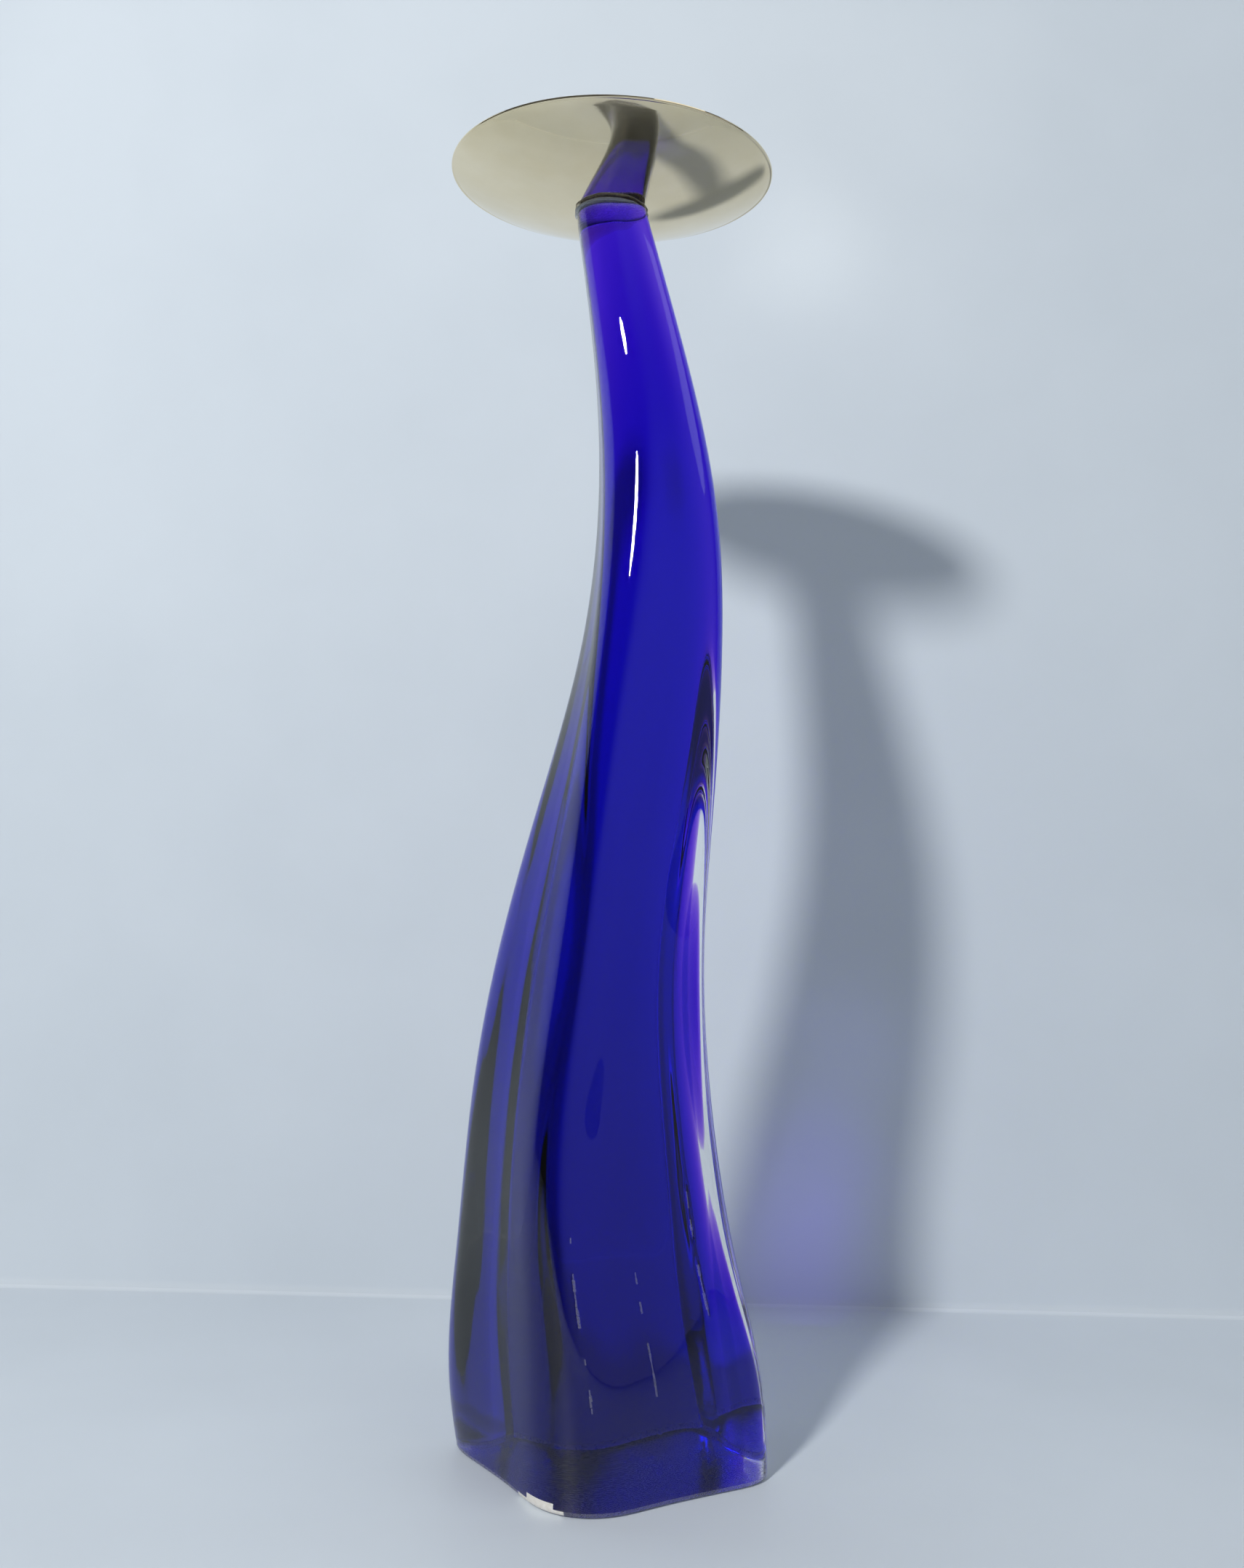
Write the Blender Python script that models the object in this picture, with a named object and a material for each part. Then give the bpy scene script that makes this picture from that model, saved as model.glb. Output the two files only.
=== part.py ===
"""A glass candlestick: a heavy, twisted, S-curved column of cobalt glass cased in clear glass.

A shallow polished brass drip pan is glued on the ground top of the column, and a turned brass
pricket in the middle of the pan holds the candle.

Frame: metres, +Z up. The origin is the middle of the foot, on the surface that it stands on.
The column's broad, softer corner points along -Y, and the top of the column leans to -X.
"""

import math
from collections import namedtuple

import bmesh
import bpy
import numpy as np
from mathutils import Vector

# Clearance between two solids that touch or are fused on the real object.
GAP = 0.0003

# The column, from the foot up. Each station is one horizontal section: a rounded square whose
# middle wanders in x and y to make the S, and whose twist turns it about the vertical. The
# front roundness is the radius of the broad front corner, as a share of the half side.
Station = namedtuple(
    "Station", "height middle_x middle_y half_side twist_degrees front_roundness"
)
COLUMN = (
    Station(0.0000, 0.00136, 0.0000, 0.03673, 31.5, 0.55),
    Station(0.0200, -0.00055, 0.0000, 0.03725, 34.5, 0.52),
    Station(0.0600, -0.00466, 0.0010, 0.03399, 31.0, 0.36),
    Station(0.1050, -0.00719, 0.0006, 0.02949, 31.0, 0.33),
    Station(0.1500, -0.00536, -0.0008, 0.02519, 34.5, 0.35),
    Station(0.1950, 0.00083, -0.0022, 0.02217, 27.0, 0.43),
    Station(0.2400, 0.00706, -0.0030, 0.01959, 14.5, 0.55),
    Station(0.2850, 0.00846, -0.0025, 0.01723, 7.5, 0.80),
    Station(0.3350, 0.00203, -0.0009, 0.01368, 4.0, 1.00),
    Station(0.3805, -0.00808, -0.0022, 0.01057, 2.0, 1.00),
)
GLASS_TOP = COLUMN[-1].height

# The broad corner at the front was pulled out softer than the other three, whose radius is
# also given as a share of the half side.
BROAD_CORNER = math.radians(225.0)
FOOT_CORNER_ROUNDNESS = 0.24
TOP_CORNER_ROUNDNESS = 0.45
# The hot glass flowed, so each section is smoothed over this much of its turn to either side.
FLOW = math.radians(7.0)
FLOW_STEPS = 4
# How far the middle of each side is pinched in, as a share of the half side.
FOOT_PINCH = 0.020
TOP_PINCH = 0.005

# The clear layer over the cobalt core, measured at the middle of a side, and the rounder core.
FOOT_CASING = 0.0050
TOP_CASING = 0.0026
CORE_ROUNDNESS = 0.62

# The narrow ground bevels at the foot and at the top.
FOOT_BEVEL = 0.0015
TOP_BEVEL = 0.0006

POINTS_AROUND_COLUMN = 56
ROWS_UP_COLUMN = 28
# The points stand closer together at the corners: the share of an even step taken off there.
CORNER_CROWDING = 0.4

# The drip pan is spun from thin sheet as part of a sphere, hollow side up.
PAN_DIAMETER = 0.100
PAN_SHEET = 0.0010
PAN_DEPTH = 0.0116
PAN_ROWS = 9
PAN_SEGMENTS = 64

# The glue fills the joint and is squeezed out past the glass as a bead.
GLUE_THICKNESS = 0.0004
GLUE_BEAD_RADIUS = 0.0009
GLUE_SEGMENTS = 48

# The pricket: a flat round foot, a fillet and a tapered spike.
PRICKET_FOOT_RADIUS = 0.0080
PRICKET_FOOT_THICKNESS = 0.0020
SPIKE_RADIUS = 0.0020
SPIKE_TIP_RADIUS = 0.0004
SPIKE_LENGTH = 0.0200
SPIKE_FILLET = 0.0012
PRICKET_SEGMENTS = 32

COLUMN_TOP_MIDDLE = Vector((COLUMN[-1].middle_x, COLUMN[-1].middle_y, GLASS_TOP))


def clear_scene():
    for existing in list(bpy.data.objects):
        bpy.data.objects.remove(existing, do_unlink=True)


def finish(name, colour, roughness, metallic=0.0, transmission=0.0, ior=1.5):
    """A plain Principled material."""
    material = bpy.data.materials.new(name)
    material.use_nodes = True
    shader = material.node_tree.nodes["Principled BSDF"]
    shader.inputs["Base Color"].default_value = (*colour, 1.0)
    shader.inputs["Roughness"].default_value = roughness
    shader.inputs["Metallic"].default_value = metallic
    shader.inputs["Transmission Weight"].default_value = transmission
    shader.inputs["IOR"].default_value = ior
    material.diffuse_color = (*colour, 1.0)
    return material


def clear_glass_finish():
    return finish("clear_glass", (0.93, 0.96, 0.98), 0.02, transmission=1.0)


def cobalt_glass_finish():
    return finish("cobalt_glass", (0.06, 0.02, 0.55), 0.02, transmission=1.0)


def polished_brass_finish():
    return finish("polished_brass", (0.86, 0.80, 0.62), 0.06, metallic=1.0)


def clear_glue_finish():
    return finish("clear_glue", (0.82, 0.86, 0.90), 0.25, transmission=0.8, ior=1.48)


def add_object(name, mesh, material):
    mesh.materials.append(material)
    item = bpy.data.objects.new(name, mesh)
    bpy.context.scene.collection.objects.link(item)
    return item


def natural_spline(knots, values, at):
    """The smooth curve through (knots, values) with no bend at its two ends, read at each of at."""
    knots = np.asarray(knots, float)
    values = np.asarray(values, float)
    step = np.diff(knots)
    slope = np.diff(values) / step
    count = len(knots)
    system = np.eye(count)
    right = np.zeros(count)
    for i in range(1, count - 1):
        system[i, i - 1] = step[i - 1]
        system[i, i] = 2.0 * (step[i - 1] + step[i])
        system[i, i + 1] = step[i]
        right[i] = 3.0 * (slope[i] - slope[i - 1])
    bend = np.linalg.solve(system, right)
    span = np.clip(np.searchsorted(knots, at, side="right") - 1, 0, count - 2)
    along = np.asarray(at) - knots[span]
    first = slope[span] - step[span] * (2.0 * bend[span] + bend[span + 1]) / 3.0
    cubic = (bend[span + 1] - bend[span]) / (3.0 * step[span])
    return values[span] + along * (first + along * (bend[span] + along * cubic))


def column_value(field, height):
    knots = [station.height for station in COLUMN]
    values = [getattr(station, field) for station in COLUMN]
    return float(natural_spline(knots, values, height))


def between(foot, top, height):
    return foot + (top - foot) * height / GLASS_TOP


def rounded_square(half_side, corner_radius, angle):
    """The radius of a square with rounded corners, at an angle from the middle of a side."""
    from_side = abs((angle + math.pi / 4.0) % (math.pi / 2.0) - math.pi / 4.0)
    flat = half_side - corner_radius
    if half_side * math.tan(from_side) <= flat:
        return half_side / math.cos(from_side)
    corner_middle = flat * math.sqrt(2.0)
    aside = from_side - math.pi / 4.0
    reach = math.sqrt(corner_radius**2 - (corner_middle * math.sin(aside)) ** 2)
    return corner_middle * math.cos(aside) + reach


def flowed_square(half_side, front_roundness, roundness, pinch, angle):
    """The radius of the section at an angle from the middle of its side, before any twist."""
    total = 0.0
    for i in range(-FLOW_STEPS, FLOW_STEPS + 1):
        at = angle + FLOW * i / FLOW_STEPS
        towards_front = max(0.0, math.cos(at - BROAD_CORNER))
        front_share = min(1.0, 2.0 * towards_front**2)
        share = roundness + (front_roundness - roundness) * front_share
        total += rounded_square(half_side, share * half_side, at)
    radius = total / (2 * FLOW_STEPS + 1)
    towards_side = 0.5 + 0.5 * math.cos(4.0 * angle)
    return radius * (1.0 - pinch * towards_side)


def outer_radius(height, angle):
    half_side = column_value("half_side", height)
    front_roundness = min(1.0, column_value("front_roundness", height))
    roundness = between(FOOT_CORNER_ROUNDNESS, TOP_CORNER_ROUNDNESS, height)
    pinch = between(FOOT_PINCH, TOP_PINCH, height)
    return flowed_square(half_side, front_roundness, roundness, pinch, angle)


def core_radius(height, angle):
    casing = between(FOOT_CASING, TOP_CASING, height)
    half_side = column_value("half_side", height) - casing
    front_roundness = min(1.0, column_value("front_roundness", height))
    pinch = between(FOOT_PINCH, TOP_PINCH, height)
    return flowed_square(
        half_side, max(front_roundness, CORE_ROUNDNESS), CORE_ROUNDNESS, pinch, angle
    )


def section(height, radius_at, offset=0.0):
    """One ring of points of the column at a height."""
    middle = Vector((column_value("middle_x", height), column_value("middle_y", height), height))
    twist = math.radians(column_value("twist_degrees", height))
    ring = []
    for i in range(POINTS_AROUND_COLUMN):
        even = math.tau * i / POINTS_AROUND_COLUMN
        angle = even + CORNER_CROWDING / 4.0 * math.sin(4.0 * even)
        radius = radius_at(height, angle) + offset
        turned = angle + twist
        ring.append(middle + Vector((radius * math.cos(turned), radius * math.sin(turned), 0.0)))
    return ring


def column_heights():
    """The rows of the column, with one at each bevel's inner edge."""
    lowest = FOOT_BEVEL
    highest = GLASS_TOP - TOP_BEVEL
    step = (highest - lowest) / (ROWS_UP_COLUMN - 1)
    return [lowest + step * i for i in range(ROWS_UP_COLUMN)]


def add_rings(bm, rings):
    return [[bm.verts.new(point) for point in ring] for ring in rings]


def bridge(bm, lower, upper):
    """Quads between two rings with the same number of points, facing out where upper is higher."""
    count = len(lower)
    for i in range(count):
        j = (i + 1) % count
        bm.faces.new((lower[i], lower[j], upper[j], upper[i]))


def mesh_from(bm, name, sharp_degrees):
    mesh = bpy.data.meshes.new(name)
    bm.to_mesh(mesh)
    bm.free()
    mesh.shade_smooth()
    mesh.set_sharp_from_angle(angle=math.radians(sharp_degrees))
    return mesh


def clear_glass_casing():
    """The clear layer: a twisted tube, ground flat and bevelled at both ends."""
    outer = [section(0.0, outer_radius, -FOOT_BEVEL)]
    outer += [section(height, outer_radius) for height in column_heights()]
    outer.append(section(GLASS_TOP, outer_radius, -TOP_BEVEL))
    heights = [0.0, *column_heights(), GLASS_TOP]
    inner = [section(height, core_radius, GAP) for height in reversed(heights)]
    bm = bmesh.new()
    rings = add_rings(bm, outer + inner)
    for lower, upper in zip(rings, rings[1:] + rings[:1]):
        bridge(bm, lower, upper)
    mesh = mesh_from(bm, "clear_glass_casing", 35.0)
    return add_object("clear_glass_casing", mesh, clear_glass_finish())


def cobalt_glass_core():
    """The cobalt heart of the column, flush with the casing at the foot and at the top."""
    heights = [0.0, *column_heights(), GLASS_TOP]
    bm = bmesh.new()
    rings = add_rings(bm, [section(height, core_radius) for height in heights])
    for lower, upper in zip(rings, rings[1:]):
        bridge(bm, lower, upper)
    bm.faces.new(reversed(rings[0]))
    bm.faces.new(rings[-1])
    mesh = mesh_from(bm, "cobalt_glass_core", 35.0)
    return add_object("cobalt_glass_core", mesh, cobalt_glass_finish())


def turned_piece(name, profile, segments, material):
    """A round piece turned from a profile of (radius, height), given down its outer side."""
    mesh = bpy.data.meshes.new(name)
    edges = [(i, i + 1) for i in range(len(profile) - 1)]
    mesh.from_pydata([(radius, 0.0, height) for radius, height in profile], edges, [])
    piece = add_object(name, mesh, material)
    piece.location = COLUMN_TOP_MIDDLE
    turn = piece.modifiers.new("turn", "SCREW")
    turn.axis = "Z"
    turn.angle = math.tau
    turn.steps = segments
    turn.render_steps = segments
    turn.use_merge_vertices = True
    turn.merge_threshold = 0.00001
    turn.use_smooth_shade = True
    return piece


def arc(middle, radius, start_degrees, end_degrees, steps):
    """Points along an arc of a profile, from one angle to another about a middle."""
    points = []
    for i in range(steps + 1):
        angle = math.radians(start_degrees + (end_degrees - start_degrees) * i / steps)
        points.append((middle[0] + radius * math.cos(angle), middle[1] + radius * math.sin(angle)))
    return points


def pan_underside_height(radius):
    """The height of the pan's underside above its lowest point."""
    rim = PAN_DIAMETER / 2.0
    sphere = (rim**2 + PAN_DEPTH**2) / (2.0 * PAN_DEPTH)
    return sphere - math.sqrt(sphere**2 - radius**2)


def pan_bottom():
    """The lowest point of the pan's underside, above the glass."""
    return 2.0 * GAP + GLUE_THICKNESS


def drip_pan():
    """The spun dish, of even thickness, with its cut edge rounded over."""
    rim = PAN_DIAMETER / 2.0
    half_sheet = PAN_SHEET / 2.0
    bottom = pan_bottom()
    radii = [rim * i / PAN_ROWS for i in range(PAN_ROWS)]
    upper = [(r, bottom + PAN_SHEET + pan_underside_height(r)) for r in radii]
    lower = [(r, bottom + pan_underside_height(r)) for r in radii]
    edge_middle = (rim - half_sheet, bottom + half_sheet + pan_underside_height(rim - half_sheet))
    edge = arc(edge_middle, half_sheet, 80.0, -80.0, 4)
    profile = upper + edge + lower[::-1]
    return turned_piece("drip_pan", profile, PAN_SEGMENTS, polished_brass_finish())


def glue_pad():
    """The disc of clear glue between glass and pan, with its squeezed-out bead."""
    low = GAP
    high = GAP + GLUE_THICKNESS
    bead_middle = COLUMN[-1].half_side + GLUE_BEAD_RADIUS / 2.0
    lift = low + GLUE_BEAD_RADIUS / 2.0
    bead = arc((bead_middle, lift), GLUE_BEAD_RADIUS / 2.0, 60.0, -90.0, 5)
    profile = [(0.0, high), (bead_middle / 2.0, high), *bead, (0.0, low)]
    return turned_piece("glue_pad", profile, GLUE_SEGMENTS, clear_glue_finish())


def pricket_seat_height():
    """The flat top of the pricket's foot, above the glass, where the candle stands."""
    inside_bottom = pan_bottom() + PAN_SHEET + pan_underside_height(PRICKET_FOOT_RADIUS)
    return inside_bottom + GAP + PRICKET_FOOT_THICKNESS


def pricket():
    """The turned brass foot and spike in the middle of the pan."""
    seat = pricket_seat_height()
    bottom = seat - PRICKET_FOOT_THICKNESS
    corner = SPIKE_FILLET / 2.0
    tip = (0.0, seat + SPIKE_LENGTH)
    shoulder = (SPIKE_TIP_RADIUS, seat + SPIKE_LENGTH - SPIKE_TIP_RADIUS)
    fillet_middle = (SPIKE_RADIUS + SPIKE_FILLET, seat + SPIKE_FILLET)
    fillet = arc(fillet_middle, SPIKE_FILLET, 180.0, 270.0, 4)
    rounding = arc((PRICKET_FOOT_RADIUS - corner, seat - corner), corner, 90.0, 0.0, 3)
    profile = [tip, shoulder, *fillet, *rounding, (PRICKET_FOOT_RADIUS, bottom), (0.0, bottom)]
    return turned_piece("pricket", profile, PRICKET_SEGMENTS, polished_brass_finish())


def main():
    clear_scene()
    clear_glass_casing()
    cobalt_glass_core()
    glue_pad()
    drip_pan()
    pricket()


main()
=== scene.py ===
"""The looks of the glass candlestick: cased cobalt glass, a polished brass pan and its glue."""
import math

import bpy
import numpy as np
from mathutils import Matrix, Vector


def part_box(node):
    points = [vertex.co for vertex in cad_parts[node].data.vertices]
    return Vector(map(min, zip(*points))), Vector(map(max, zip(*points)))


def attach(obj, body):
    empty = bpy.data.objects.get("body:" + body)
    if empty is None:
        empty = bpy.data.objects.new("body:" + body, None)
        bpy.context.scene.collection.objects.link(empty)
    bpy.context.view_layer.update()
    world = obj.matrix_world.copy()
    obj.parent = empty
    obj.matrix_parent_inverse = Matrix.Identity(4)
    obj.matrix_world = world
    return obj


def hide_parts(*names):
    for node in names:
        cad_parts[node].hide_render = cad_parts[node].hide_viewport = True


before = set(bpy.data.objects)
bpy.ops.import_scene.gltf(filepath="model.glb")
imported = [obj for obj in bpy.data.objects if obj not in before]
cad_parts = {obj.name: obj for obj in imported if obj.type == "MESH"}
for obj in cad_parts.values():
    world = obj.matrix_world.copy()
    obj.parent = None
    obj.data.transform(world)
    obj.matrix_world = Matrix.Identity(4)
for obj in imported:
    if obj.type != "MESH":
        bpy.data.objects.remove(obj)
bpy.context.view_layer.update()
BODY = "root"

# The camera, in metres, degrees and millimetres of lens.
CAMERA_HEIGHT = 0.1750
CAMERA_DISTANCE = 0.4688
CAMERA_PITCH = 3.41
CAMERA_ROLL = 1.49
CAMERA_LENS = 35.07

# The stage, in metres. The floor lies a hair under the foot, as air does under real glass.
WALL_DISTANCE = 0.171
STAGE_REACH = 1.6
COVE_RADIUS = 0.004
COVE_STEPS = 8
FLOOR_DROP = 0.0003

# The two lamps, both round: place, target, width, power and colour.
KEY_LAMP = ((-0.54, -1.0, 0.835), (0.0, 0.0, 0.3), 0.14, 13.2, (1.0, 0.99, 0.97))
FILL_LAMP = ((0.8, -0.5, 1.2), (0.15, 0.1, 0.0), 0.9, 2.2, (0.93, 0.97, 1.0))

# The room that the glass reflects: dark, with a soft glow at the front right. The glow starts
# and is full where a direction's cosine to its middle has these values.
ROOM_COLOUR = (0.88, 0.93, 1.0, 1.0)
ROOM_GLOW_DIRECTION = (0.68, -0.73, 0.05)
ROOM_GLOW_STARTS = 0.55
ROOM_GLOW_FULL = 0.95
ROOM_GLOW = 0.42
ROOM_DARK = 0.09

# Light thrown on the wall by the glass and the brass: name, how far across and up, radius, power
# and colour. Each comes from a spot light this far in front of the wall.
GLOW_DISTANCE = 0.045
WALL_GLOWS = (
    ("glow_of_core_low", 0.078, 0.018, 0.055, 0.014, (0.30, 0.22, 1.0)),
    ("glow_of_core_mid", 0.084, 0.055, 0.055, 0.012, (0.28, 0.22, 1.0)),
    ("glow_of_core_high", 0.096, 0.105, 0.055, 0.005, (0.30, 0.30, 1.0)),
    ("glow_of_pan", 0.072, 0.446, 0.055, 0.007, (1.0, 0.97, 0.90)),
)

# Edges that bend more than this are drawn sharp.
SHARP_EDGE = math.radians(30.0)

# Points of the CAD nodes count as level, or as equal, within these distances, in metres.
SAME_LEVEL = 0.00005
SAME_POINT = 0.00001

# The fine glass surface. Points of the casing this close to the core belong to its bore.
FINE_AROUND = 256
FINE_UP = 240
BEVEL_STEPS = 3
CORE_INSET = 0.0003
BORE_CLEARANCE = 0.001

# How glass bends light, and how the cobalt glass dims it, per metre.
GLASS_IOR = 1.5
COBALT_COLOUR = (0.37, 0.0, 0.926, 1.0)
COBALT_DENSITY = 270.0

# The clear glass piece's material slots after its first.
GROUND_FACE = 1
CHIP_AND_GLINT_FACE = 2

# Three thin tool marks on the front of the foot: where each stands on the squarish outline, in
# degrees past a corner, and the heights that it runs between, in metres. A mark's reach is in
# radians about the column, and it breaks up along two waves of these many radians per metre.
TOOL_MARKS = (
    (277.5, 0.022, 0.081),
    (305.5, 0.017, 0.067),
    (339.5, 0.029, 0.087),
)
MARK_HEIGHT = 0.00018
MARK_WIDTH = 0.00045
MARK_STEPS = 6
MARK_REACH = 0.028
MARK_BREAKS = (610.0, 233.0)
MARK_BREAK_SHIFTS = (40.0, 90.0)
MARK_WORN_ABOVE = 0.35

# A long, shallow dent in the front of the neck: its heights and depth, in metres.
DENT_LOW = 0.300
DENT_HIGH = 0.387
DENT_DEPTH = 0.0015

# A chip ground flat on the foot's front edge, its bright cream colour a painted glint of the lamp on
# the bevel: the middle and half size of its oval, in metres.
CHIP_GLINT_ACROSS = -0.0175
CHIP_GLINT_UP = 0.0008
CHIP_GLINT_HALF_WIDTH = 0.0065
CHIP_GLINT_HALF_HEIGHT = 0.0018

# The turned pieces.
PAN_ROWS = 40
PAN_SEGMENTS = 256
PAN_EDGE_STEPS = 8
PRICKET_SEGMENTS = 96
GLUE_SEGMENTS = 192
# The glue's lumps, in metres of radius. Only the outer share of its radius swells.
GLUE_SWELL = 0.00018
GLUE_SWELLS_FROM = 0.9


def link(item):
    bpy.context.scene.collection.objects.link(item)
    return item


def mesh_object(name, points, faces):
    mesh = bpy.data.meshes.new(name)
    mesh.from_pydata([tuple(point) for point in points], [], faces)
    mesh.shade_smooth()
    mesh.set_sharp_from_angle(angle=SHARP_EDGE)
    return link(bpy.data.objects.new(name, mesh))


# ---- the shape of the column, read from the CAD nodes' rows ----


def spline(knots, values, at):
    """The smooth curve through (knots, values) with no bend at its ends, read at each of at."""
    knots = np.asarray(knots, float)
    values = np.asarray(values, float)
    shape = (-1,) + (1,) * (values.ndim - 1)
    step = np.diff(knots)
    slope = np.diff(values, axis=0) / step.reshape(shape)
    count = len(knots)
    system = np.eye(count)
    right = np.zeros_like(values)
    for i in range(1, count - 1):
        system[i, i - 1 : i + 2] = step[i - 1], 2.0 * (step[i - 1] + step[i]), step[i]
        right[i] = 3.0 * (slope[i] - slope[i - 1])
    bend = np.linalg.solve(system, right.reshape(count, -1)).reshape(values.shape)
    span = np.clip(np.searchsorted(knots, at, side="right") - 1, 0, count - 2)
    along = (np.asarray(at, float) - knots[span]).reshape(shape)
    gap = step[span].reshape(shape)
    first = slope[span] - gap * (2.0 * bend[span] + bend[span + 1]) / 3.0
    cubic = (bend[span + 1] - bend[span]) / (3.0 * gap)
    return values[span] + along * (first + along * (bend[span] + along * cubic))


def rows_of(node):
    """The node's points sorted into rows of equal height, lowest first."""
    points = np.array([tuple(vertex.co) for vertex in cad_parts[node].data.vertices])
    points = np.unique(np.round(points, 6), axis=0)
    points = points[np.argsort(points[:, 2])]
    cuts = np.flatnonzero(np.diff(points[:, 2]) > SAME_LEVEL) + 1
    return np.split(points, cuts)


def middle_of(row):
    """The middle of the area inside a row's points."""
    rough = row[:, :2].mean(axis=0)
    order = np.argsort(np.arctan2(row[:, 1] - rough[1], row[:, 0] - rough[0]))
    a = row[order, :2] - rough
    b = np.roll(a, -1, axis=0)
    cross = a[:, 0] * b[:, 1] - a[:, 1] * b[:, 0]
    return rough + ((a + b) * cross[:, None]).sum(axis=0) / (3.0 * cross.sum())


def radii_about(row, middle, at):
    """The distance from middle to the row's outline, in each of the directions at."""
    angle = np.arctan2(row[:, 1] - middle[1], row[:, 0] - middle[0])
    order = np.argsort(angle)
    radius = np.hypot(*(row[order, :2] - middle).T)
    laps = np.concatenate([angle[order] + lap * math.tau for lap in (-1, 0, 1)])
    wrapped = np.mod(at + math.pi, math.tau) - math.pi
    return spline(laps, np.tile(radius, 3), wrapped)


def twist_of(row, middle, near):
    """Where a corner of the row's squarish outline points, within an eighth of a turn of near."""
    around = np.arange(FINE_AROUND) * math.tau / FINE_AROUND
    wave = (radii_about(row, middle, around) * np.exp(-4j * around)).sum()
    twist = -np.angle(wave) / 4.0
    quarter = math.pi / 2.0
    return twist + quarter * round((near - twist) / quarter)


def columns_around():
    """The angles of the fine surface's columns: even, and closer beside each tool mark."""
    angles = list(np.arange(FINE_AROUND) * math.tau / FINE_AROUND)
    for place, _, _ in TOOL_MARKS:
        for step in range(-MARK_STEPS, MARK_STEPS + 1):
            angles.append(math.radians(place) + MARK_REACH * step / MARK_STEPS)
    return np.unique(np.round(angles, 5))


class Column:
    """One surface of the column: its middle, twist and outline at each CAD row."""

    def __init__(self, rows):
        self.heights = np.array([row[0, 2] for row in rows])
        self.middles = np.array([middle_of(row) for row in rows])
        self.twists = []
        self.outlines = []
        self.around = columns_around()
        near = 0.0
        for row, middle in zip(rows, self.middles):
            near = twist_of(row, middle, near)
            self.twists.append(near)
            self.outlines.append(radii_about(row, middle, near + self.around))

    def rings(self, heights, inset=0.0):
        """Rings of points at the given heights, each outline drawn in by inset."""
        heights = np.asarray(heights, float)
        middles = spline(self.heights, self.middles, heights)
        twists = spline(self.heights, self.twists, heights)
        outlines = spline(self.heights, self.outlines, heights)
        outlines = outlines - np.asarray(inset, float).reshape(-1, 1)
        turned = self.around[None, :] + twists[:, None]
        rings = np.empty((len(heights), len(self.around), 3))
        rings[:, :, 0] = middles[:, :1] + outlines * np.cos(turned)
        rings[:, :, 1] = middles[:, 1:] + outlines * np.sin(turned)
        rings[:, :, 2] = heights[:, None]
        return rings


def mark_strength(heights, low, high):
    """How strongly a tool mark shows at each height: it fades at its ends and breaks up between."""
    along = np.clip((heights - low) / (high - low), 0.0, 1.0)
    ends = np.sin(math.pi * along) ** 0.5
    short = np.sin(MARK_BREAKS[0] * heights + MARK_BREAK_SHIFTS[0] * low)
    long = np.sin(MARK_BREAKS[1] * heights + MARK_BREAK_SHIFTS[1] * high)
    return ends * np.clip(0.55 + 0.5 * (short + long), 0.0, 1.0)


def tool_marks(rings, shape):
    """Raises the marks on the rings, and says how strongly each point of them is raised."""
    raised = np.zeros(rings.shape[:2])
    heights = rings[:, 0, 2]
    middle = rings.mean(axis=1, keepdims=True)
    outward = rings - middle
    radius = np.linalg.norm(outward, axis=2)
    for place, low, high in TOOL_MARKS:
        beside = (shape.around - math.radians(place))[None, :] * radius
        ridge = np.exp(-((beside / MARK_WIDTH) ** 2))
        raised = np.maximum(raised, ridge * mark_strength(heights, low, high)[:, None])
    rings += outward / radius[:, :, None] * (MARK_HEIGHT * raised)[:, :, None]
    return raised


def neck_dent(rings):
    """Presses the front of the neck in a little, deepest halfway along."""
    middle = rings.mean(axis=1, keepdims=True)
    outward = rings - middle
    forward = np.clip(-outward[:, :, 1] / np.linalg.norm(outward, axis=2), 0.0, 1.0)
    along = np.clip((rings[:, :, 2] - DENT_LOW) / (DENT_HIGH - DENT_LOW), 0.0, 1.0)
    rings[:, :, 1] += DENT_DEPTH * np.sin(math.pi * along) ** 2 * forward**2


def casing_rows(core):
    """The casing's rows without the points of its bore, which lie close to the core."""
    kept = []
    for row in rows_of("clear_glass_casing"):
        height = np.clip(row[0, 2], core.heights[0], core.heights[-1])
        ring = core.rings([height])[0]
        middle = middle_of(ring)
        direction = np.arctan2(row[:, 1] - middle[1], row[:, 0] - middle[0])
        bore = radii_about(ring, middle, direction)
        distance = np.hypot(*(row[:, :2] - middle).T)
        kept.append(row[distance > bore + BORE_CLEARANCE])
    return kept


def skin(name, rings):
    """A closed body over a stack of rings, with flat ends."""
    around = rings.shape[1]
    faces = []
    for row in range(len(rings) - 1):
        low = row * around
        for i in range(around):
            j = (i + 1) % around
            faces.append((low + i, low + j, low + around + j, low + around + i))
    last = (len(rings) - 1) * around
    faces.append(tuple(range(around - 1, -1, -1)))
    faces.append(tuple(range(last, last + around)))
    return mesh_object(name, rings.reshape(-1, 3), faces)


def bevel_insets(width):
    """(distance from the face, inset) along a rounded-over bevel, from the face inwards."""
    steps = []
    for i in range(BEVEL_STEPS + 1):
        angle = math.pi / 2.0 * i / BEVEL_STEPS
        steps.append((width * (1.0 - math.cos(angle)), width * (1.0 - math.sin(angle))))
    return steps


# ---- materials ----


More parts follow.
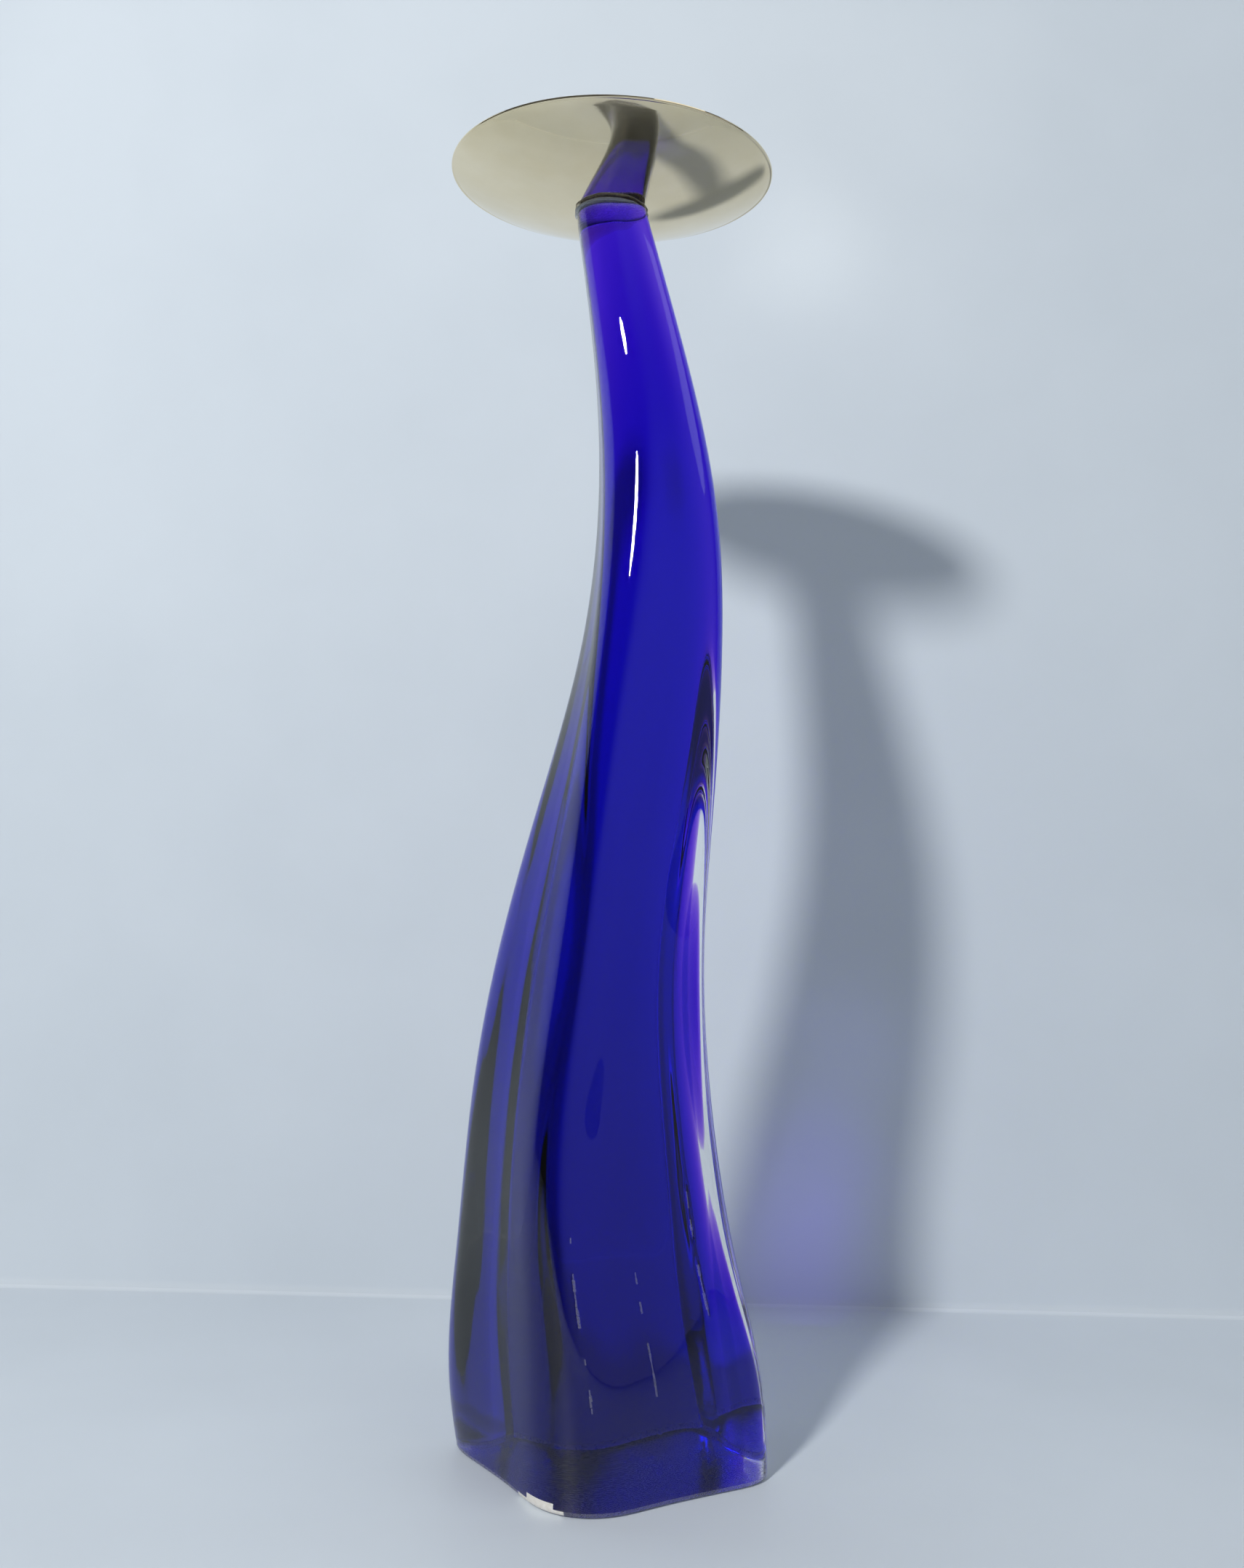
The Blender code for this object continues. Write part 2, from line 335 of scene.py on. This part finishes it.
class Nodes:
    """A short way to write a node tree."""

    def __init__(self, name):
        self.material = bpy.data.materials.new(name)
        self.material.use_nodes = True
        self.tree = self.material.node_tree
        self.shader = self.tree.nodes["Principled BSDF"]
        self.output = self.tree.nodes["Material Output"]

    def add(self, kind, **settings):
        node = self.tree.nodes.new(kind)
        for key, value in settings.items():
            setattr(node, key, value)
        return node

    def wire(self, source, socket, target, into):
        self.tree.links.new(source.outputs[socket], target.inputs[into])

    def set(self, **values):
        for key, value in values.items():
            self.shader.inputs[key.replace("_", " ")].default_value = value

    def place(self, stretch=(1.0, 1.0, 1.0), shift=(0.0, 0.0, 0.0)):
        """Object coordinates, stretched and shifted."""
        coordinates = self.add("ShaderNodeTexCoord")
        mapping = self.add("ShaderNodeMapping")
        mapping.inputs["Scale"].default_value = stretch
        mapping.inputs["Location"].default_value = shift
        self.wire(coordinates, "Object", mapping, "Vector")
        return mapping

    def noise(self, where, scale, detail=4.0, roughness=0.5):
        noise = self.add("ShaderNodeTexNoise")
        noise.inputs["Scale"].default_value = scale
        noise.inputs["Detail"].default_value = detail
        noise.inputs["Roughness"].default_value = roughness
        self.wire(where, "Vector", noise, "Vector")
        return noise

    def spread(self, source, socket, low, high, bottom, top):
        """Maps low..high of a value onto bottom..top, clamped."""
        spread = self.add("ShaderNodeMapRange")
        for key, value in zip(("From Min", "From Max", "To Min", "To Max"), (low, high, bottom, top)):
            spread.inputs[key].default_value = value
        self.wire(source, socket, spread, "Value")
        return spread

    def ramp(self, source, socket, stops):
        ramp = self.add("ShaderNodeValToRGB")
        elements = ramp.color_ramp.elements
        while len(elements) < len(stops):
            elements.new(0.5)
        for element, (position, colour) in zip(elements, stops):
            element.position = position
            element.color = (*colour, 1.0)
        self.wire(source, socket, ramp, "Fac")
        return ramp

    def bump(self, source, socket, distance, strength=1.0):
        bump = self.add("ShaderNodeBump")
        bump.inputs["Distance"].default_value = distance
        bump.inputs["Strength"].default_value = strength
        self.wire(source, socket, bump, "Height")
        return bump


def clear_glass():
    """Fire-polished clear glass: nearly smooth, with faint ripples and fine handling scratches."""
    glass = Nodes("clear_glass")
    glass.set(Transmission_Weight=1.0, IOR=GLASS_IOR)
    tint = glass.noise(glass.place((1.0, 1.0, 0.25)), 30.0, 2.0)
    ramp = glass.ramp(tint, "Fac", [(0.3, (0.955, 0.975, 0.985)), (0.7, (0.985, 0.992, 1.0))])
    glass.wire(ramp, "Color", glass.shader, "Base Color")
    smear = glass.noise(glass.place((1.0, 1.0, 0.4)), 90.0, 3.0, 0.6)
    rough = glass.spread(smear, "Fac", 0.52, 0.78, 0.0, 0.035)
    glass.wire(rough, "Result", glass.shader, "Roughness")
    ripple = glass.noise(glass.place((1.0, 1.0, 0.16)), 75.0, 1.5, 0.4)
    wave = glass.bump(ripple, "Fac", 0.00022, 0.9)
    glass.wire(wave, "Normal", glass.shader, "Normal")
    return glass.material


def ground_glass():
    """The ground ends, their bevels and the worn tool marks: glass with a satin, scratched face."""
    glass = Nodes("ground_glass")
    glass.set(Transmission_Weight=0.9, IOR=GLASS_IOR)
    frost = glass.noise(glass.place(), 1400.0, 4.0, 0.6)
    ramp = glass.ramp(frost, "Fac", [(0.3, (0.78, 0.79, 0.80)), (0.7, (0.93, 0.93, 0.92))])
    glass.wire(ramp, "Color", glass.shader, "Base Color")
    rough = glass.spread(frost, "Fac", 0.3, 0.7, 0.18, 0.42)
    glass.wire(rough, "Result", glass.shader, "Roughness")
    grain = glass.bump(frost, "Fac", 0.000008)
    glass.wire(grain, "Normal", glass.shader, "Normal")
    return glass.material


def chip_with_painted_glint():
    """A small, sugary chip on the ground edge, coloured bright cream as a painted glint of the lamp.
    """
    glass = Nodes("chip_with_painted_glint")
    glass.set(Transmission_Weight=0.15, IOR=GLASS_IOR)
    sugar = glass.noise(glass.place(), 900.0, 5.0, 0.7)
    # The bright cream colours are a painted glint of the lamp on the chip.
    ramp = glass.ramp(sugar, "Fac", [(0.3, (0.80, 0.76, 0.68)), (0.7, (0.98, 0.96, 0.90))])
    glass.wire(ramp, "Color", glass.shader, "Base Color")
    rough = glass.spread(sugar, "Fac", 0.3, 0.7, 0.35, 0.7)
    glass.wire(rough, "Result", glass.shader, "Roughness")
    grain = glass.bump(sugar, "Fac", 0.0001)
    glass.wire(grain, "Normal", glass.shader, "Normal")
    return glass.material


# The oval of the chip, whose bright cream colour is a painted glint.
def in_chip_and_glint(place):
    across = (place.x - CHIP_GLINT_ACROSS) / CHIP_GLINT_HALF_WIDTH
    up = (place.z - CHIP_GLINT_UP) / CHIP_GLINT_HALF_HEIGHT
    return place.y < 0.0 < place.z and across**2 + up**2 < 1.0


def cobalt_glass():
    """The cobalt heart. It has no surface of its own, being fused into the clear glass."""
    cobalt = Nodes("cobalt_glass")
    cobalt.set(Transmission_Weight=1.0, IOR=1.0, Roughness=0.0, Base_Color=(1.0, 1.0, 1.0, 1.0))
    absorb = cobalt.add("ShaderNodeVolumeAbsorption")
    absorb.inputs["Color"].default_value = COBALT_COLOUR
    absorb.inputs["Density"].default_value = COBALT_DENSITY
    cobalt.wire(absorb, "Volume", cobalt.output, "Volume")
    return cobalt.material


def polished_brass(middle):
    """Pale spun brass, with faint turning lines about the pan's axis, polish haze and tarnish."""
    brass = Nodes("polished_brass")
    brass.set(Metallic=1.0)
    place = brass.place((1.0, 1.0, 0.0), (-middle.x, -middle.y, 0.0))
    distance = brass.add("ShaderNodeVectorMath", operation="LENGTH")
    brass.wire(place, "Vector", distance, 0)
    lines = brass.add("ShaderNodeTexNoise", noise_dimensions="1D")
    lines.inputs["Scale"].default_value = 2600.0
    lines.inputs["Detail"].default_value = 3.0
    brass.wire(distance, "Value", lines, "W")
    haze = brass.noise(brass.place(), 38.0, 5.0, 0.6)
    colour = brass.ramp(haze, "Fac", [(0.3, (0.82, 0.70, 0.46)), (0.7, (0.89, 0.78, 0.56))])
    brass.wire(colour, "Color", brass.shader, "Base Color")
    rough = brass.spread(haze, "Fac", 0.3, 0.75, 0.03, 0.10)
    brass.wire(rough, "Result", brass.shader, "Roughness")
    turning = brass.bump(lines, "Fac", 0.000002)
    brass.wire(turning, "Normal", brass.shader, "Normal")
    return brass.material


def clear_glue():
    """Slightly cloudy hard glue."""
    glue = Nodes("clear_glue")
    glue.set(Transmission_Weight=0.85, IOR=1.48)
    cloud = glue.noise(glue.place(), 260.0, 5.0, 0.6)
    colour = glue.ramp(cloud, "Fac", [(0.3, (0.72, 0.76, 0.84)), (0.7, (0.93, 0.95, 0.98))])
    glue.wire(colour, "Color", glue.shader, "Base Color")
    rough = glue.spread(cloud, "Fac", 0.3, 0.7, 0.08, 0.3)
    glue.wire(rough, "Result", glue.shader, "Roughness")
    lump = glue.bump(cloud, "Fac", 0.0002)
    glue.wire(lump, "Normal", glue.shader, "Normal")
    return glue.material


def paper(name, low, high, roughness, shine, one_sided=False):
    """Smooth background paper. One-sided paper is clear from behind."""
    sheet = Nodes(name)
    grain = sheet.noise(sheet.place(), 9.0, 3.0)
    colour = sheet.ramp(grain, "Fac", [(0.35, low), (0.65, high)])
    sheet.wire(colour, "Color", sheet.shader, "Base Color")
    sheet.set(Roughness=roughness, Specular_IOR_Level=shine)
    if one_sided:
        side = sheet.add("ShaderNodeNewGeometry")
        clear = sheet.add("ShaderNodeBsdfTransparent")
        choice = sheet.add("ShaderNodeMixShader")
        sheet.wire(side, "Backfacing", choice, "Fac")
        sheet.wire(sheet.shader, "BSDF", choice, 1)
        sheet.wire(clear, "BSDF", choice, 2)
        sheet.wire(choice, "Shader", sheet.output, "Surface")
    return sheet.material


# ---- the pieces ----


def placed(piece, node, slot, *materials):
    """Gives a piece its materials and puts it in the place of its CAD node."""
    for material in materials:
        piece.data.materials.append(material)
    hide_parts(node)
    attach(piece, BODY)


def glass_column():
    """The clear glass as one closed body, and the cobalt heart inside it."""
    core_shape = Column(rows_of("cobalt_glass_core"))
    rows = casing_rows(core_shape)
    casing_shape = Column(rows[1:-1])
    low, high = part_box("clear_glass_casing")
    foot_bevel = casing_shape.heights[0] - low.z
    top_bevel = high.z - casing_shape.heights[-1]
    heights = np.linspace(casing_shape.heights[0], casing_shape.heights[-1], FINE_UP)
    foot = bevel_insets(foot_bevel)
    top = bevel_insets(top_bevel)[::-1]
    levels = [low.z + lift for lift, _ in foot[:-1]] + list(heights)
    levels += [high.z - lift for lift, _ in top[1:]]
    insets = [inset for _, inset in foot[:-1]] + [0.0] * FINE_UP + [inset for _, inset in top[1:]]
    held = np.clip(levels, heights[0], heights[-1])
    rings = casing_shape.rings(held, insets)
    rings[:, :, 2] = np.array(levels)[:, None]
    neck_dent(rings)
    raised = tool_marks(rings, casing_shape).ravel()
    clear = skin("clear_glass", rings)
    finishes = (clear_glass(), ground_glass(), chip_with_painted_glint())
    placed(clear, "clear_glass_casing", "clear_glass", *finishes)
    ground_up_to = low.z + foot_bevel
    ground_from = high.z - top_bevel
    for face in clear.data.polygons:
        worn = min(raised[point] for point in face.vertices) > MARK_WORN_ABOVE
        ground = face.center.z < ground_up_to or face.center.z > ground_from
        if worn or ground:
            face.material_index = GROUND_FACE
        # The chip's faces get the bright cream material, a painted glint.
        if in_chip_and_glint(face.center):
            face.material_index = CHIP_AND_GLINT_FACE
    core_heights = np.linspace(low.z + CORE_INSET, high.z - CORE_INSET, FINE_UP)
    core = skin("cobalt_glass", core_shape.rings(core_heights))
    placed(core, "cobalt_glass_core", "cobalt_glass", cobalt_glass())


def profile_of(node, axis):
    """The turned node's outline, as (radius, height) points from its top middle to its bottom."""
    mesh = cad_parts[node].data
    keys = []
    for vertex in mesh.vertices:
        radius = math.hypot(vertex.co.x - axis.x, vertex.co.y - axis.y)
        on_seam = abs(vertex.co.y - axis.y) < SAME_POINT and vertex.co.x > axis.x - SAME_POINT
        keys.append((round(radius, 6), round(vertex.co.z, 6)) if on_seam else None)
    beside = {}
    for edge in mesh.edges:
        a, b = keys[edge.vertices[0]], keys[edge.vertices[1]]
        if a and b and a != b and max(a[0], b[0]) > SAME_POINT:
            beside.setdefault(a, set()).add(b)
            beside.setdefault(b, set()).add(a)
    at = max((key for key in beside if len(beside[key]) == 1), key=lambda key: key[1])
    outline = [at]
    while True:
        onward = [key for key in beside[at] if key not in outline]
        if not onward:
            break
        at = max(onward, key=lambda key: key[0])
        outline.append(at)
    if outline[0][0] > SAME_POINT:
        outline.insert(0, (0.0, outline[0][1]))
    if outline[-1][0] > SAME_POINT:
        outline.append((0.0, outline[-1][1]))
    return outline


def turned(name, outline, axis, segments, swell=None):
    """A closed lathed body. swell(radius, angle) may add to a point's radius."""
    points = [(axis.x, axis.y, outline[0][1])]
    for radius, height in outline[1:-1]:
        for i in range(segments):
            angle = math.tau * i / segments
            wide = radius + (swell(radius, angle) if swell else 0.0)
            points.append((axis.x + wide * math.cos(angle), axis.y + wide * math.sin(angle), height))
    points.append((axis.x, axis.y, outline[-1][1]))
    faces = []
    for i in range(segments):
        j = (i + 1) % segments
        faces.append((0, 1 + i, 1 + j))
        for row in range(len(outline) - 3):
            low = 1 + row * segments
            faces.append((low + i, low + segments + i, low + segments + j, low + j))
        low = 1 + (len(outline) - 3) * segments
        faces.append((low + i, len(points) - 1, low + j))
    return mesh_object(name, points, faces)


def sphere_through(outline):
    """The radius of the sphere that a shallow outline lies on, from its middle and widest point."""
    wide = max(outline)
    deep = abs(wide[1] - min(outline)[1])
    return (wide[0] ** 2 + deep**2) / (2.0 * deep)


def drip_pan(axis, brass):
    """The dish again, as a smooth shell with a rounded edge."""
    outline = profile_of("drip_pan", axis)
    rim = max(range(len(outline)), key=lambda i: outline[i][0])
    bottom = outline[-1][1]
    sheet = outline[0][1] - bottom
    underside = [point for point in outline[rim:] if point[0] < outline[rim][0] - sheet]
    curve = sphere_through(underside)
    reach = outline[rim][0] - sheet / 2.0

    def height(radius):
        return bottom + curve - math.sqrt(curve**2 - radius**2)

    radii = [reach * i / PAN_ROWS for i in range(PAN_ROWS)]
    lean = math.asin(reach / curve)
    edge_middle = (reach, height(reach) + sheet / 2.0)
    edge = []
    for i in range(PAN_EDGE_STEPS + 1):
        turn = math.pi * i / PAN_EDGE_STEPS
        angle = math.pi / 2.0 - turn + lean * math.cos(turn)
        reach_out = sheet / 2.0 * math.cos(angle)
        edge.append((edge_middle[0] + reach_out, edge_middle[1] + sheet / 2.0 * math.sin(angle)))
    top = [(r, height(r) + sheet) for r in radii]
    low = [(r, height(r)) for r in reversed(radii)]
    shell = turned("drip_pan_shell", top + edge + low, axis, PAN_SEGMENTS)
    placed(shell, "drip_pan", "polished_brass", brass)


def pricket(axis, brass):
    body = turned("pricket_turned", profile_of("pricket", axis), axis, PRICKET_SEGMENTS)
    placed(body, "pricket", "polished_brass", brass)


def glue_pad(axis):
    """The glue disc with its bead swollen and pinched here and there."""
    outline = profile_of("glue_pad", axis)
    widest = max(outline)[0]

    def swell(radius, angle):
        lump = math.sin(3.0 * angle + 0.4) + 0.6 * math.sin(7.0 * angle + 2.1)
        lump += 0.5 * math.sin(13.0 * angle + 1.0)
        share = max(0.0, radius / widest - GLUE_SWELLS_FROM) / (1.0 - GLUE_SWELLS_FROM)
        return GLUE_SWELL * lump * share

    bead = turned("glue_bead", outline, axis, GLUE_SEGMENTS, swell)
    placed(bead, "glue_pad", "clear_glue", clear_glue())


# ---- the stage ----


def stage():
    """A pale floor and a pale wall that meet in a tight cove."""
    cove_middle = (WALL_DISTANCE - COVE_RADIUS, COVE_RADIUS - FLOOR_DROP)
    cove = []
    for i in range(COVE_STEPS + 1):
        angle = math.pi / 2.0 * (i / COVE_STEPS - 1.0)
        reach = (COVE_RADIUS * math.cos(angle), COVE_RADIUS * math.sin(angle))
        cove.append((cove_middle[0] + reach[0], cove_middle[1] + reach[1]))
    half = COVE_STEPS // 2
    floor = paper("floor_paper", (0.67, 0.73, 0.79), (0.70, 0.76, 0.82), 0.42, 0.5)
    wall = paper("wall_paper", (0.60, 0.66, 0.72), (0.63, 0.69, 0.75), 0.75, 0.2, one_sided=True)
    for name, profile, material in (
        ("floor", [(-STAGE_REACH, -FLOOR_DROP)] + cove[: half + 1], floor),
        ("wall", cove[half:] + [(WALL_DISTANCE, STAGE_REACH)], wall),
    ):
        points = [(x, y, z) for y, z in profile for x in (-STAGE_REACH, STAGE_REACH)]
        faces = [(2 * i, 2 * i + 1, 2 * i + 3, 2 * i + 2) for i in range(len(profile) - 1)]
        sweep = mesh_object(name, points, faces)
        sweep.data.materials.append(material)


def area_light(name, place, towards, size, power, colour):
    light = bpy.data.lights.new(name, "AREA")
    light.shape = "DISK"
    light.size = size
    light.energy = power
    light.color = colour
    lamp = link(bpy.data.objects.new(name, light))
    lamp.location = place
    lamp.rotation_euler = (Vector(towards) - Vector(place)).to_track_quat("-Z", "Y").to_euler()
    lamp.visible_camera = False


def wall_glow(name, across, up, radius, power, colour):
    """A soft patch of the light that glass and brass throw on the wall."""
    light = bpy.data.lights.new(name, "SPOT")
    light.energy = power
    light.color = colour
    light.shadow_soft_size = 0.0
    light.spot_size = 2.0 * math.atan(radius / GLOW_DISTANCE)
    light.spot_blend = 1.0
    lamp = link(bpy.data.objects.new(name, light))
    lamp.location = (across, WALL_DISTANCE - GLOW_DISTANCE, up)
    lamp.rotation_euler = (math.radians(90.0), 0.0, 0.0)


def lights():
    area_light("key", *KEY_LAMP)
    area_light("fill", *FILL_LAMP)
    for name, across, up, radius, power, colour in WALL_GLOWS:
        wall_glow(name, across, up, radius, power, colour)
    world = bpy.data.worlds.new("room")
    world.use_nodes = True
    tree = world.node_tree
    direction = tree.nodes.new("ShaderNodeTexCoord")
    facing = tree.nodes.new("ShaderNodeVectorMath")
    facing.operation = "DOT_PRODUCT"
    facing.inputs[1].default_value = ROOM_GLOW_DIRECTION
    glow = tree.nodes.new("ShaderNodeMapRange")
    glow.interpolation_type = "SMOOTHSTEP"
    glow.inputs["From Min"].default_value = ROOM_GLOW_STARTS
    glow.inputs["From Max"].default_value = ROOM_GLOW_FULL
    glow.inputs["To Min"].default_value = ROOM_DARK
    glow.inputs["To Max"].default_value = ROOM_GLOW
    background = tree.nodes["Background"]
    background.inputs["Color"].default_value = ROOM_COLOUR
    tree.links.new(direction.outputs["Generated"], facing.inputs[0])
    tree.links.new(facing.outputs["Value"], glow.inputs["Value"])
    tree.links.new(glow.outputs["Result"], background.inputs["Strength"])
    bpy.context.scene.world = world


def camera():
    lens = bpy.data.cameras.new("camera")
    lens.lens = CAMERA_LENS
    lens.sensor_width = 36.0
    lens.clip_start = 0.01
    view = link(bpy.data.objects.new("camera", lens))
    tilt = Matrix.Rotation(math.radians(90.0 + CAMERA_PITCH), 4, "X")
    roll = Matrix.Rotation(math.radians(CAMERA_ROLL), 4, "Z")
    place = Matrix.Translation((0.0, -CAMERA_DISTANCE, CAMERA_HEIGHT))
    view.matrix_world = place @ tilt @ roll
    bpy.context.scene.camera = view


glass_column()
low_corner, high_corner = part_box("drip_pan")
pan_axis = (low_corner + high_corner) / 2.0
brass = polished_brass(pan_axis)
drip_pan(pan_axis, brass)
pricket(pan_axis, brass)
glue_pad(pan_axis)
stage()
lights()
camera()
bpy.context.scene.view_settings.view_transform = "Standard"
